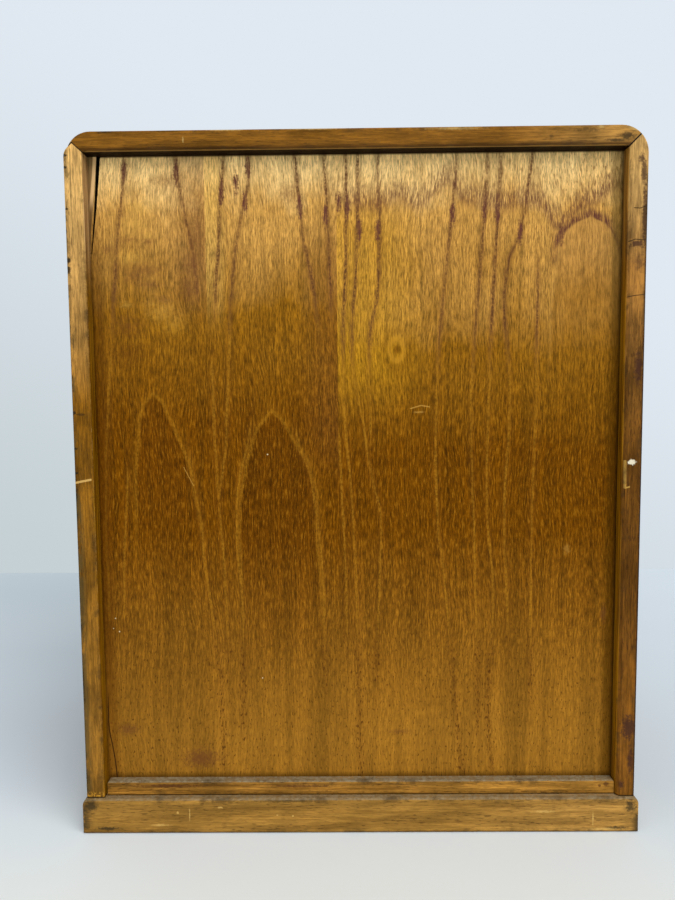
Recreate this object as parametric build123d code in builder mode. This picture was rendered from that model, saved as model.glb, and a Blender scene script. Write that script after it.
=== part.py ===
from build123d import *
import os

# A tabletop tansu: a mitred case with rounded upper corners on a low plinth, a recessed
# back panel, five drawers and one small cupboard. The front faces -Y and the back panel
# faces +Y. Left and right are as seen from the front. The origin is on the surface that
# the plinth stands on, under the middle of the whole, from the back of the plinth to the
# front of the pulls. Sizes are in millimetres.

# Case
case_width = 300.0
case_depth = 200.0
case_height = 355.5
side_thickness = 10.0
top_thickness = 10.5
bottom_thickness = 7.7
bottom_set_in = 2.2
bottom_end_gaps = (0.4, 0.9)
bottom_arris_radius = 1.0
shelf_thickness = 7.0
arris_radius = 0.9
shelf_arris_radius = 0.5
inner_chamfer = 1.6

# Rounded upper corners. The right mitre ends in a tip, from where the top board's end turns down
# on the side board's rounded shoulder. Each pair is inward from the outer face, then down.
left_corner_radius = 14.0
right_corner_radius = 12.7
right_end_set_in = 1.3
right_mitre_tip = (4.6, 5.5)
right_notch = (2.2, 7.7)
right_shoulder_drop = 12.5

# Joints between boards
housing_depth = 4.0
housing_stop = 8.0
tongue_depth = 3.0

# Back panel
panel_recess = 7.0
panel_thickness = 5.0
panel_groove_depth = 4.0
split_bottom_drop = 50.0
split_bend_drop = 25.0
split_top_inset = (5.0, 7.3)
split_bend_inset = (2.8, 4.2)
split_end_inset = (0.4, 0.9)

# Plinth
plinth_height = 19.5
plinth_side_overhang = 2.0
plinth_face_overhang = 2.0
plinth_rail_thickness = 14.0
plinth_shoulder_radius = 3.8
plinth_arris_radius = 1.5
corner_block_size = 16.0
corner_block_lift = 2.0

# Heights of the rows behind the front, from the top down; the lowest row takes the rest
top_row_height = 48.0
middle_row_height = 111.0
lower_row_height = 66.0
partition_left = -7.0

# Cupboard fittings
cupboard_shelf_thickness = 6.0
batten_size = 6.0
door_thickness = 10.0
door_gap = 0.8
cleat_height = 14.0
cleat_tongue_depth = 5.0
cleat_tongue_thickness = 3.4

# Drawers
drawer_front_thickness = 9.0
drawer_wall_thickness = 6.0
drawer_bottom_thickness = 3.0
drawer_gap = 0.5
drawer_side_lowering = 3.0
drawer_back_lowering = 2.0
drawer_lap = 5.0
drawer_groove_depth = 2.5
drawer_bottom_lift = 3.0
drawer_arris_radius = 0.6

# Iron pulls: a bail on two eye posts, each over a domed rosette
bail_radius = 1.5
bail_corner_radius = 7.0
bail_knob_radius = 2.0
bail_pin_radius = 1.1
bail_pin_length = 7.4
bail_grip_radius = 2.3
bail_grip_share = 0.34
pull_standoff = 4.5
eye_radius = 2.6
eye_thickness = 3.6
eye_inset = 4.8
eye_running_clearance = 0.06
post_radius = 1.3
rosette_radius = 5.6
rosette_thickness = 1.3
rosette_dome = 0.9
pull_lift = 7.0
drawer_pull_half_span = 24.0
drawer_pull_drop = 18.0
small_pull_half_span = 18.0
door_pull_half_span = 12.0
door_pull_drop = 16.0
door_pull_inset = 26.0

# Door hinges: two surface hinges, each with three knuckles on a pin
hinge_height = 20.0
hinge_inset = 19.0
hinge_end_knuckle = 5.5
hinge_knuckle_gap = 0.3
hinge_knuckle_radius = 2.0
hinge_pin_radius = 0.9
hinge_running_clearance = 0.06
hinge_pin_head_radius = 1.7
hinge_pin_head_height = 1.0
hinge_leaf_thickness = 1.0
hinge_leaf_clearance = 0.5
hinge_axis_standoff = 2.5
hinge_case_leaf_width = 8.6
hinge_door_leaf_width = 22.0
hinge_leaf_corner = 2.0

# Places worked out from the sizes above
half_width = case_width / 2
inner_half_width = half_width - side_thickness
pull_reach = pull_standoff + bail_grip_radius
case_middle = (pull_reach - plinth_face_overhang) / 2
front_face = case_middle - case_depth / 2
back_face = case_middle + case_depth / 2
case_top = plinth_height + case_height
ceiling = case_top - top_thickness
floor_level = plinth_height + bottom_thickness
panel_back = back_face - panel_recess
panel_front = panel_back - panel_thickness
tip_x = half_width - right_mitre_tip[0]
tip_z = case_top - right_mitre_tip[1]
notch_x = half_width - right_notch[0]
notch_z = case_top - right_notch[1]

top_shelf_top = ceiling - top_row_height
top_shelf_bottom = top_shelf_top - shelf_thickness
middle_shelf_top = top_shelf_bottom - middle_row_height
middle_shelf_bottom = middle_shelf_top - shelf_thickness
lower_shelf_top = middle_shelf_bottom - lower_row_height
lower_shelf_bottom = lower_shelf_top - shelf_thickness
shelf_levels = [
    (top_shelf_bottom, top_shelf_top),
    (middle_shelf_bottom, middle_shelf_top),
    (lower_shelf_bottom, lower_shelf_top),
]

partition_right = partition_left + shelf_thickness
small_row_height = (middle_row_height - shelf_thickness) / 2
divider_bottom = middle_shelf_top + small_row_height
divider_top = divider_bottom + shelf_thickness
cupboard_shelf_bottom = middle_shelf_top + (middle_row_height - cupboard_shelf_thickness) / 2
cupboard_shelf_top = cupboard_shelf_bottom + cupboard_shelf_thickness

door_left = partition_right + door_gap
door_right = inner_half_width - door_gap
door_bottom = middle_shelf_top + door_gap
door_top = top_shelf_bottom - door_gap
door_back = front_face + door_thickness
hinge_x = inner_half_width - door_gap / 2
hinge_y = front_face - hinge_axis_standoff
hinge_levels = [door_bottom + hinge_inset, door_top - hinge_inset]


def block(low, high, mode=Mode.ADD):
    """A square-edged block between two opposite corners, in the part being built."""
    sizes = [b - a for a, b in zip(low, high)]
    middle = [(a + b) / 2 for a, b in zip(low, high)]
    with Locations(tuple(middle)):
        Box(*sizes, mode=mode)


def save(piece, name):
    """Labels a finished piece and writes it as one STEP file."""
    piece.part.label = name
    export_step(piece.part, f"parts/{name}.step")


def left_side_outline():
    """The left side board's back end, mitred above, with a rounded upper corner."""
    with BuildSketch(Plane.XZ.offset(-back_face)) as outline:
        with BuildLine():
            Polyline(
                (-half_width, plinth_height),
                (-half_width, case_top),
                (-inner_half_width, ceiling),
                (-inner_half_width, plinth_height),
                close=True,
            )
        make_face()
        with Locations((0, plinth_height)):
            RectangleRounded(case_width, 2 * case_height, left_corner_radius, mode=Mode.INTERSECT)
    return outline.sketch


def right_side_outline():
    """The right side board's back end, with a rounded shoulder outside its mitre's tip."""
    with BuildSketch(Plane.XZ.offset(-back_face)) as outline:
        with BuildLine():
            outer = Line((half_width, plinth_height), (half_width, case_top - right_shoulder_drop))
            TangentArc(outer @ 1, (notch_x, notch_z), tangent=outer % 1)
            Polyline(
                (notch_x, notch_z),
                (tip_x, tip_z),
                (inner_half_width, ceiling),
                (inner_half_width, plinth_height),
                (half_width, plinth_height),
            )
        make_face()
    return outline.sketch


def side_board(name, side, outline, chamfered):
    """A side of the case: side is 1 for the right board and -1 for the left one."""
    inner = side * inner_half_width
    housing = side * (inner_half_width + housing_depth)
    groove = side * (inner_half_width + panel_groove_depth)
    with BuildPart() as board:
        extrude(outline, amount=case_depth)
        outer_arrises = board.edges().filter_by(Axis.Z).sort_by(Axis.X)
        outer_arrises = outer_arrises[-2:] if side > 0 else outer_arrises[:2]
        fillet(outer_arrises, radius=arris_radius)
        if chamfered:
            inner_arrises = board.edges().filter_by(Axis.Z).filter_by_position(Axis.X, inner, inner)
            chamfer(inner_arrises.sort_by(Axis.Y)[-1], length=inner_chamfer)
        block(
            (min(inner, groove), panel_front, plinth_height + bottom_thickness - tongue_depth),
            (max(inner, groove), panel_back, case_top),
            mode=Mode.SUBTRACT,
        )
        for low, high in shelf_levels + [(plinth_height, floor_level)]:
            block(
                (min(inner, housing), front_face + housing_stop, low),
                (max(inner, housing), panel_front, high),
                mode=Mode.SUBTRACT,
            )
        if side < 0:
            block(
                (housing, front_face + housing_stop, divider_bottom),
                (inner, panel_front, divider_top),
                mode=Mode.SUBTRACT,
            )
    save(board, name)


def top_board():
    """The top of the case, mitred at both ends, with a groove for the back panel."""
    joint_fall = (notch_z - tip_z) / (notch_x - tip_x)
    joint_end_z = tip_z + joint_fall * (half_width - tip_x)
    left_end = -half_width
    right_end = half_width - right_end_set_in
    with BuildPart() as board:
        with BuildSketch(Plane.XZ.offset(-back_face)):
            with BuildLine():
                Polyline(
                    (-half_width, case_top),
                    (half_width, case_top),
                    (half_width, joint_end_z),
                    (tip_x, tip_z),
                    (inner_half_width, ceiling),
                    (-inner_half_width, ceiling),
                    close=True,
                )
            make_face()
            for end, inward, radius in [
                (left_end, 1, left_corner_radius),
                (right_end, -1, right_corner_radius),
            ]:
                with Locations((end + inward * case_width, plinth_height)):
                    RectangleRounded(2 * case_width, 2 * case_height, radius, mode=Mode.INTERSECT)
        extrude(amount=case_depth)
        upper_arrises = board.edges().filter_by(Axis.X).group_by(Axis.Z)[-1]
        fillet(upper_arrises, radius=arris_radius)
        block(
            (-inner_half_width, panel_front, ceiling),
            (inner_half_width, panel_back, ceiling + panel_groove_depth),
            mode=Mode.SUBTRACT,
        )
    save(board, "top_board")


def bottom_board():
    """The floor of the case, let into the sides and cut a little short where it shows behind."""
    left_gap, right_gap = bottom_end_gaps
    strip_back = back_face - bottom_set_in
    with BuildPart() as board:
        block(
            (-inner_half_width + left_gap, panel_front, plinth_height),
            (inner_half_width - right_gap, strip_back, floor_level),
        )
        upper_face = board.faces().sort_by(Axis.Z)[-1]
        shown_edges = upper_face.edges().sort_by(Axis.Y)[1:]
        fillet(shown_edges, radius=bottom_arris_radius)
        block(
            (-inner_half_width, front_face, plinth_height),
            (inner_half_width, panel_front, floor_level),
        )
        front_arris = board.edges().filter_by(Axis.X).group_by(Axis.Y)[0].sort_by(Axis.Z)[-1]
        fillet(front_arris, radius=shelf_arris_radius)
        block(
            (-inner_half_width - housing_depth, front_face + housing_stop, plinth_height),
            (inner_half_width + housing_depth, panel_front, floor_level),
        )
        block(
            (-inner_half_width, panel_front, floor_level - tongue_depth),
            (inner_half_width, panel_back, floor_level),
            mode=Mode.SUBTRACT,
        )
    save(board, "bottom_board")


def back_panel():
    """The thin back, held in grooves all round, with a long split beside the right board."""
    split_top = ceiling + panel_groove_depth
    split_bend = ceiling - split_bend_drop
    split_bottom = ceiling - split_bottom_drop
    reach = inner_half_width + panel_groove_depth
    with BuildPart() as panel:
        block(
            (-inner_half_width, panel_front, floor_level - tongue_depth),
            (inner_half_width, panel_back, ceiling + panel_groove_depth),
        )
        block(
            (-reach, panel_front, floor_level - tongue_depth),
            (reach, panel_back, ceiling - panel_groove_depth),
        )
        with BuildSketch(Plane.XZ.offset(-panel_back)):
            with BuildLine():
                Polyline(
                    (inner_half_width - split_top_inset[0], split_top),
                    (inner_half_width - split_bend_inset[0], split_bend),
                    (inner_half_width - split_end_inset[0], split_bottom),
                    (inner_half_width - split_end_inset[1], split_bottom),
                    (inner_half_width - split_bend_inset[1], split_bend),
                    (inner_half_width - split_top_inset[1], split_top),
                    close=True,
                )
            make_face()
        extrude(amount=panel_thickness, mode=Mode.SUBTRACT)
    save(panel, "back_panel")


def plinth():
    """Four rails with rounded shoulders, and a glued block in each inner corner."""
    reach_x = half_width + plinth_side_overhang
    inner_x = reach_x - plinth_rail_thickness
    front = front_face - plinth_face_overhang
    back = back_face + plinth_face_overhang
    inner_front = front + plinth_rail_thickness
    inner_back = back - plinth_rail_thickness
    for name, low_y, high_y, outer_face in [
        ("base_front_rail", front, inner_front, 0),
        ("base_back_rail", inner_back, back, -1),
    ]:
        with BuildPart() as rail:
            block((-reach_x, low_y, 0), (reach_x, high_y, plinth_height))
            shoulders = rail.edges().filter_by(Axis.Y).group_by(Axis.Z)[-1]
            fillet(shoulders, radius=plinth_shoulder_radius)
            outer = rail.faces().sort_by(Axis.Y)[outer_face]
            fillet(outer.edges(), radius=plinth_arris_radius)
        save(rail, name)
    for name, low_x, high_x in [
        ("base_left_rail", -reach_x, -inner_x),
        ("base_right_rail", inner_x, reach_x),
    ]:
        with BuildPart() as rail:
            block((low_x, inner_front, 0), (high_x, inner_back, plinth_height))
            outer = rail.faces().sort_by(Axis.X)[0 if low_x < 0 else -1]
            shoulder = outer.edges().filter_by(Axis.Y).sort_by(Axis.Z)[-1]
            fillet(shoulder, radius=plinth_shoulder_radius)
        save(rail, name)
    with BuildPart() as blocks:
        with BuildSketch(Plane.XY.offset(corner_block_lift)):
            for side in (-1, 1):
                for corner_y, inward in [(inner_front, 1), (inner_back, -1)]:
                    with BuildLine():
                        Polyline(
                            (side * inner_x, corner_y),
                            (side * (inner_x - corner_block_size), corner_y),
                            (side * inner_x, corner_y + inward * corner_block_size),
                            close=True,
                        )
                    make_face()
        extrude(amount=plinth_height - corner_block_lift)
    save(blocks, "base_corner_blocks")


def shelf(name, low, high, partition_side):
    """A shelf between the rows, let into the sides; partition_side is 1 above, -1 below, 0 none."""
    with BuildPart() as board:
        block((-inner_half_width, front_face, low), (inner_half_width, panel_front, high))
        front_arrises = board.edges().filter_by(Axis.X).group_by(Axis.Y)[0]
        fillet(front_arrises, radius=shelf_arris_radius)
        block(
            (-inner_half_width - housing_depth, front_face + housing_stop, low),
            (inner_half_width + housing_depth, panel_front, high),
        )
        if partition_side:
            mouth = high if partition_side > 0 else low
            base = mouth - partition_side * tongue_depth
            block(
                (partition_left, front_face + housing_stop, min(mouth, base)),
                (partition_right, panel_front, max(mouth, base)),
                mode=Mode.SUBTRACT,
            )
    save(board, name)


def middle_row_boards():
    """The partition, the board between the small drawers, and the cupboard's shelf."""
    with BuildPart() as partition:
        block(
            (partition_left, front_face, middle_shelf_top),
            (partition_right, panel_front, top_shelf_bottom),
        )
        front_arrises = partition.edges().filter_by(Axis.Z).group_by(Axis.Y)[0]
        fillet(front_arrises, radius=shelf_arris_radius)
        block(
            (partition_left, front_face + housing_stop, middle_shelf_top - tongue_depth),
            (partition_right, panel_front, top_shelf_bottom + tongue_depth),
        )
        block(
            (partition_left, front_face + housing_stop, divider_bottom),
            (partition_left + tongue_depth, panel_front, divider_top),
            mode=Mode.SUBTRACT,
        )
    save(partition, "partition_board")

    with BuildPart() as divider:
        block(
            (-inner_half_width, front_face, divider_bottom),
            (partition_left, panel_front, divider_top),
        )
        front_arrises = divider.edges().filter_by(Axis.X).group_by(Axis.Y)[0]
        fillet(front_arrises, radius=shelf_arris_radius)
        block(
            (-inner_half_width - housing_depth, front_face + housing_stop, divider_bottom),
            (partition_left + tongue_depth, panel_front, divider_top),
        )
    save(divider, "small_drawer_divider")

    with BuildPart() as cupboard_shelf:
        block(
            (partition_right, door_back, cupboard_shelf_bottom),
            (inner_half_width, panel_front, cupboard_shelf_top),
        )
        front_arris = cupboard_shelf.edges().filter_by(Axis.X).group_by(Axis.Y)[0]
        fillet(front_arris, radius=shelf_arris_radius)
    save(cupboard_shelf, "cupboard_shelf")

    with BuildPart() as battens:
        for wall, step in [(partition_right, batten_size), (inner_half_width, -batten_size)]:
            block(
                (min(wall, wall + step), door_back + batten_size, cupboard_shelf_bottom - batten_size),
                (max(wall, wall + step), panel_front, cupboard_shelf_bottom),
            )
    save(battens, "cupboard_battens")


def bore_for_posts(x, z, half_span, depth):
    """Two holes right through a front, for the stems of a pull's eye posts."""
    for side in (-1, 1):
        with Locations((x + side * (half_span - eye_inset), front_face + depth / 2, z)):
            Cylinder(post_radius, depth, rotation=(90, 0, 0), mode=Mode.SUBTRACT)


def bail(name, x, z, half_span, drop):
    """A hanging iron bail with a swelling in its grip and a pivot pin at each end."""
    y = front_face - pull_standoff
    grip_half = half_span * bail_grip_share
    with BuildPart() as handle:
        with BuildLine():
            FilletPolyline(
                (x - half_span, y, z),
                (x - half_span, y, z - drop),
                (x + half_span, y, z - drop),
                (x + half_span, y, z),
                radius=min(bail_corner_radius, half_span - grip_half),
            )
        with BuildSketch(Plane((x - half_span, y, z), z_dir=(0, 0, -1))):
            Circle(bail_radius)
        sweep()
        with BuildSketch(Plane((x, y, z - drop), x_dir=(1, 0, 0), z_dir=(0, -1, 0))):
            with BuildLine():
                Spline(
                    (-grip_half, bail_radius),
                    (0, bail_grip_radius),
                    (grip_half, bail_radius),
                    tangents=[(1, 0), (1, 0)],
                )
                Polyline(
                    (grip_half, bail_radius),
                    (grip_half, 0),
                    (-grip_half, 0),
                    (-grip_half, bail_radius),
                )
            make_face()
        revolve(axis=Axis((x, y, z - drop), (1, 0, 0)))
        for side in (-1, 1):
            with Locations((x + side * half_span, y, z)):
                Sphere(bail_knob_radius)
            with Locations((x + side * (half_span - bail_pin_length / 2), y, z)):
                Cylinder(bail_pin_radius, bail_pin_length, rotation=(0, 90, 0))
    save(handle, name)


def pull_fittings(name, x, z, half_span, depth):
    """Two eye posts whose stems go through the front, and a domed rosette round each."""
    y = front_face - pull_standoff
    with BuildPart() as fittings:
        for side in (-1, 1):
            post_x = x + side * (half_span - eye_inset)
            stem = front_face + depth - y
            with Locations((post_x, y + stem / 2, z)):
                Cylinder(post_radius, stem, rotation=(90, 0, 0))
            with Locations((post_x, y, z)):
                Cylinder(eye_radius, eye_thickness, rotation=(0, 90, 0))
                Cylinder(
                    bail_pin_radius + eye_running_clearance,
                    2 * eye_thickness,
                    rotation=(0, 90, 0),
                    mode=Mode.SUBTRACT,
                )
    with BuildPart() as rosettes:
        for side in (-1, 1):
            post_x = x + side * (half_span - eye_inset)
            with BuildSketch(Plane((post_x, front_face, z), x_dir=(1, 0, 0), z_dir=(0, 0, 1))):
                with BuildLine():
                    Polyline(
                        (post_radius, -rosette_thickness),
                        (post_radius, 0),
                        (rosette_radius, 0),
                        (rosette_radius, rosette_dome - rosette_thickness),
                        close=True,
                    )
                make_face()
            revolve(axis=Axis((post_x, front_face, z), (0, 1, 0)))
    group = Compound(children=fittings.part.solids() + rosettes.part.solids())
    group.label = name
    export_step(group, f"parts/{name}.step")


def drawer(name, left, right, low, high, pull_half_span):
    """One drawer of five boards, flush with the case's front, and its bail pull."""
    left = left + drawer_gap
    right = right - drawer_gap
    top = high - drawer_gap
    middle = (left + right) / 2
    pull_level = (low + top) / 2 + pull_lift
    front_back = front_face + drawer_front_thickness
    lap_front = front_back - drawer_lap
    bottom_low = low + drawer_bottom_lift
    bottom_high = bottom_low + drawer_bottom_thickness
    side_top = top - drawer_side_lowering
    back_front = panel_front - drawer_wall_thickness
    inner_left = left + drawer_wall_thickness
    inner_right = right - drawer_wall_thickness
    groove_left = inner_left - drawer_groove_depth
    groove_right = inner_right + drawer_groove_depth
    groove_front = front_back - drawer_groove_depth

    with BuildPart() as front:
        block((left, front_face, low + drawer_gap), (right, front_back, top))
        fillet(front.faces().sort_by(Axis.Y)[0].edges(), radius=drawer_arris_radius)
        for low_x, high_x in [(left, inner_left), (inner_right, right)]:
            block((low_x, lap_front, low), (high_x, front_back, side_top), mode=Mode.SUBTRACT)
        block(
            (groove_left, groove_front, bottom_low),
            (groove_right, front_back, bottom_high),
            mode=Mode.SUBTRACT,
        )
        bore_for_posts(middle, pull_level, pull_half_span, drawer_front_thickness)
    save(front, f"{name}_front")

    for side, low_x, high_x in [("left", left, inner_left), ("right", inner_right, right)]:
        with BuildPart() as wall:
            block((low_x, lap_front, low), (high_x, panel_front, side_top))
            block(
                (groove_left, groove_front, bottom_low),
                (groove_right, panel_front, bottom_high),
                mode=Mode.SUBTRACT,
            )
        save(wall, f"{name}_{side}_side")

    with BuildPart() as back:
        block(
            (inner_left, back_front, bottom_high),
            (inner_right, panel_front, side_top - drawer_back_lowering),
        )
    save(back, f"{name}_back")

    with BuildPart() as bottom:
        block((groove_left, groove_front, bottom_low), (groove_right, panel_front, bottom_high))
    save(bottom, f"{name}_bottom")

    bail(f"{name}_pull", middle, pull_level, pull_half_span, drawer_pull_drop)
    pull_fittings(f"{name}_pull_fittings", middle, pull_level, pull_half_span, drawer_front_thickness)


def cupboard_door():
    """A flush board door with a cleat tongued on above and below, and its small bail."""
    board_bottom = door_bottom + cleat_height
    board_top = door_top - cleat_height
    tongue_front = (front_face + door_back - cleat_tongue_thickness) / 2
    tongue_back = tongue_front + cleat_tongue_thickness
    pull_x = door_left + door_pull_inset
    pull_level = (door_bottom + door_top) / 2 + pull_lift
    with BuildPart() as board:
        block((door_left, front_face, board_bottom), (door_right, door_back, board_top))
        block(
            (door_left, tongue_front, board_bottom - cleat_tongue_depth),
            (door_right, tongue_back, board_top + cleat_tongue_depth),
        )
        bore_for_posts(pull_x, pull_level, door_pull_half_span, door_thickness)
    save(board, "cupboard_door_board")

    with BuildPart() as cleats:
        for low, high, mouth, depth in [
            (door_bottom, board_bottom, board_bottom, -cleat_tongue_depth),
            (board_top, door_top, board_top, cleat_tongue_depth),
        ]:
            block((door_left, front_face, low), (door_right, door_back, high))
            block(
                (door_left, tongue_front, min(mouth, mouth + depth)),
                (door_right, tongue_back, max(mouth, mouth + depth)),
                mode=Mode.SUBTRACT,
            )
    save(cleats, "cupboard_door_cleats")

    bail("cupboard_door_pull", pull_x, pull_level, door_pull_half_span, door_pull_drop)
    pull_fittings(
        "cupboard_door_pull_fittings", pull_x, pull_level, door_pull_half_span, door_thickness
    )


def hinge_leaves(name, direction, leaf_width, knuckles, bore_radius):
    """One leaf of each hinge: direction is 1 towards the case and -1 towards the door."""
    near = hinge_x + direction * (hinge_knuckle_radius + hinge_leaf_clearance)
    far = hinge_x + direction * leaf_width
    with BuildPart() as leaves:
        for level in hinge_levels:
            base = level - hinge_height / 2
            with BuildSketch(Plane.XZ.offset(-front_face)) as plate:
                with Locations(((near + far) / 2, level)):
                    Rectangle(abs(far - near), hinge_height)
                outer_corners = plate.vertices().group_by(Axis.X)[-1 if direction > 0 else 0]
                fillet(outer_corners, radius=hinge_leaf_corner)
            extrude(amount=hinge_leaf_thickness)
            for low, high in knuckles:
                block(
                    (min(hinge_x, near), front_face - hinge_leaf_thickness, base + low),
                    (max(hinge_x, near), front_face, base + high),
                )
                with Locations((hinge_x, hinge_y, base + (low + high) / 2)):
                    Cylinder(hinge_knuckle_radius, high - low)
            with Locations((hinge_x, hinge_y, level)):
                Cylinder(bore_radius, hinge_height, mode=Mode.SUBTRACT)
    save(leaves, name)


def hinges():
    """Surface hinges on the cupboard door's right edge, with headed pins."""
    middle_low = hinge_end_knuckle + hinge_knuckle_gap
    end_knuckles = [(0, hinge_end_knuckle), (hinge_height - hinge_end_knuckle, hinge_height)]
    middle_knuckle = [(middle_low, hinge_height - middle_low)]
    door_bore = hinge_pin_radius + hinge_running_clearance
    hinge_leaves("hinge_case_leaves", 1, hinge_case_leaf_width, end_knuckles, hinge_pin_radius)
    hinge_leaves("hinge_door_leaves", -1, hinge_door_leaf_width, middle_knuckle, door_bore)
    with BuildPart() as pins:
        for level in hinge_levels:
            with Locations((hinge_x, hinge_y, level)):
                Cylinder(hinge_pin_radius, hinge_height)
            for end in (-1, 1):
                head = level + end * (hinge_height + hinge_pin_head_height) / 2
                with Locations((hinge_x, hinge_y, head)):
                    Cylinder(hinge_pin_head_radius, hinge_pin_head_height)
    save(pins, "hinge_pins")


os.makedirs("parts", exist_ok=True)

top_board()
side_board("left_side_board", -1, left_side_outline(), chamfered=True)
side_board("right_side_board", 1, right_side_outline(), chamfered=False)
bottom_board()
back_panel()
plinth()
shelf("upper_shelf", top_shelf_bottom, top_shelf_top, partition_side=-1)
shelf("middle_shelf", middle_shelf_bottom, middle_shelf_top, partition_side=1)
shelf("lower_shelf", lower_shelf_bottom, lower_shelf_top, partition_side=0)
middle_row_boards()

wide = (-inner_half_width, inner_half_width)
narrow = (-inner_half_width, partition_left)
for name, (left, right), low, high, pull_half_span in [
    ("top_drawer", wide, top_shelf_top, ceiling, drawer_pull_half_span),
    ("upper_small_drawer", narrow, divider_top, top_shelf_bottom, small_pull_half_span),
    ("lower_small_drawer", narrow, middle_shelf_top, divider_bottom, small_pull_half_span),
    ("middle_drawer", wide, lower_shelf_top, middle_shelf_bottom, drawer_pull_half_span),
    ("bottom_drawer", wide, floor_level, lower_shelf_bottom, drawer_pull_half_span),
]:
    drawer(name, left, right, low, high, pull_half_span)
cupboard_door()
hinges()
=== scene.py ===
import functools
import math

import bpy
from mathutils import Matrix, Vector


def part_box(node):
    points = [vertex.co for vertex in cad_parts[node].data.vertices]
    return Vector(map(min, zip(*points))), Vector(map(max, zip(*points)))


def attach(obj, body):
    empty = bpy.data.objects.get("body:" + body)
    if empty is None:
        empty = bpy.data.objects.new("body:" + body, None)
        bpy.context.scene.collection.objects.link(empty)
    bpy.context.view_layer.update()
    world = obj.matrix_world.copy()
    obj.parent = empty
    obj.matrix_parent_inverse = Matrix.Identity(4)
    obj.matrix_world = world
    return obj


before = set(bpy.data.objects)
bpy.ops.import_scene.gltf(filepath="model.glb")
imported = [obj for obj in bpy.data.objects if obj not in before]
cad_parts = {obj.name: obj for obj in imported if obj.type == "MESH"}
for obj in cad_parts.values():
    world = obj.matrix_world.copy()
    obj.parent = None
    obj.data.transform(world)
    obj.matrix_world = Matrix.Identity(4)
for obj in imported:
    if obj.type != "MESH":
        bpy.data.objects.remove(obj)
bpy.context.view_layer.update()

# Table top, light and camera
# The cabinet stands on a pale matt table top that ends half a metre behind it, in front of a pale wall.
# Soft daylight falls from the upper right of the camera, and the camera looks almost level at its back.


def tone(red, green, blue):
    """A colour as it looks on a screen, 0 to 255, turned into the linear colour that a socket takes."""
    shares = [value / 255 for value in (red, green, blue)]
    return (*[s / 12.92 if s <= 0.04045 else ((s + 0.055) / 1.055) ** 2.4 for s in shares], 1)


class Wire:
    """What comes out of a node. Sums, products and so on lead it into a further node of the same tree."""

    def __init__(self, tree, socket):
        self.tree, self.socket = tree, socket

    def __add__(self, other):
        return computed("ADD", self, other)

    def __sub__(self, other):
        return computed("SUBTRACT", self, other)

    def __rsub__(self, other):
        return computed("SUBTRACT", other, self)

    def __mul__(self, other):
        work = vector if isinstance(other, tuple) else computed
        return work("MULTIPLY", self, other)

    def __truediv__(self, other):
        return computed("DIVIDE", self, other)

    def __pow__(self, other):
        return computed("POWER", self, other)

    def __abs__(self):
        return computed("ABSOLUTE", self)


def feed(socket, value):
    """Leads a wire to a socket, or sets the socket to a plain value."""
    if isinstance(value, Wire):
        value.tree.links.new(value.socket, socket)
    else:
        socket.default_value = value


def feed_all(sockets, values):
    for label, value in values.items():
        feed(sockets[label], value)


def add_node(tree, kind, sockets=None, **settings):
    made = tree.nodes.new("ShaderNode" + kind)
    for name, value in settings.items():
        setattr(made, name, value)
    feed_all(made.inputs, sockets or {})
    return made


def led_into(kind, sockets, output=0, **settings):
    """What comes out of a new node that the wires among these sockets lead into."""
    tree = next(value.tree for value in sockets.values() if isinstance(value, Wire))
    return Wire(tree, add_node(tree, kind, sockets, **settings).outputs[output])


def computed(operation, *values):
    return led_into("Math", dict(enumerate(values)), operation=operation)


def vector(operation, *values):
    return led_into("VectorMath", dict(enumerate(values)), operation=operation)


def joined(x, y, z):
    return led_into("CombineXYZ", {"X": x, "Y": y, "Z": z})


def length(x, y, z=0):
    return led_into("VectorMath", {0: joined(x, y, z)}, "Value", operation="LENGTH")


def parts(place):
    made = add_node(place.tree, "SeparateXYZ", {"Vector": place})
    return [Wire(place.tree, socket) for socket in made.outputs]


def ease(value, start, end, low=0, high=1):
    """Goes smoothly from low to high while value goes from start to end."""
    sockets = {"Value": value, "From Min": start, "From Max": end, "To Min": low, "To Max": high}
    return led_into("MapRange", sockets, "Result", interpolation_type="SMOOTHSTEP")


def noise(place, scale, detail, roughness=0.5):
    sockets = {"Vector": place, "Scale": scale, "Detail": detail, "Roughness": roughness}
    return led_into("TexNoise", sockets)


def noise_along(value, detail, roughness):
    sockets = {"W": value, "Scale": 1, "Detail": detail, "Roughness": roughness}
    return led_into("TexNoise", sockets, noise_dimensions="1D")


def mix(share, first, second, blend="MIX"):
    """The share says how much of the second colour shows. Three numbers are a colour on a screen."""
    first, second = [tone(*shade) if isinstance(shade, tuple) and len(shade) == 3 else shade
                     for shade in (first, second)]
    return led_into("Mix", {0: share, 6: first, 7: second}, 2, data_type="RGBA", blend_type=blend)


def most(*wires):
    """The largest of several values at each place."""
    return functools.reduce(lambda first, second: computed("MAXIMUM", first, second), wires)


def least(*wires):
    return functools.reduce(lambda first, second: computed("MINIMUM", first, second), wires)


def grouped(kind, sockets):
    """The results of a node group, by name."""
    tree = next(value.tree for value in sockets.values() if isinstance(value, Wire))
    made = add_node(tree, "Group", sockets, node_tree=kind)
    return {socket.name: Wire(tree, socket) for socket in made.outputs}


def new_material(name):
    """A new material with its shader's inputs and the place on the surface in millimetres."""
    made = bpy.data.materials.new(name)
    made.use_nodes = True
    spot = Wire(made.node_tree, add_node(made.node_tree, "TexCoord").outputs["Object"])
    place = spot * (1000, 1000, 1000)
    return made, made.node_tree.nodes["Principled BSDF"].inputs, place


def roughen(shader, height, strength, distance):
    """Fine relief: strength is its share of the whole, distance its depth in metres."""
    feed(shader["Normal"], led_into("Bump", {"Height": height, "Strength": strength, "Distance": distance}))


def dress(node, material):
    """Gives a CAD node its finish."""
    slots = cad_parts[node].data.materials
    slots.clear()
    slots.append(material)


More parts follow.
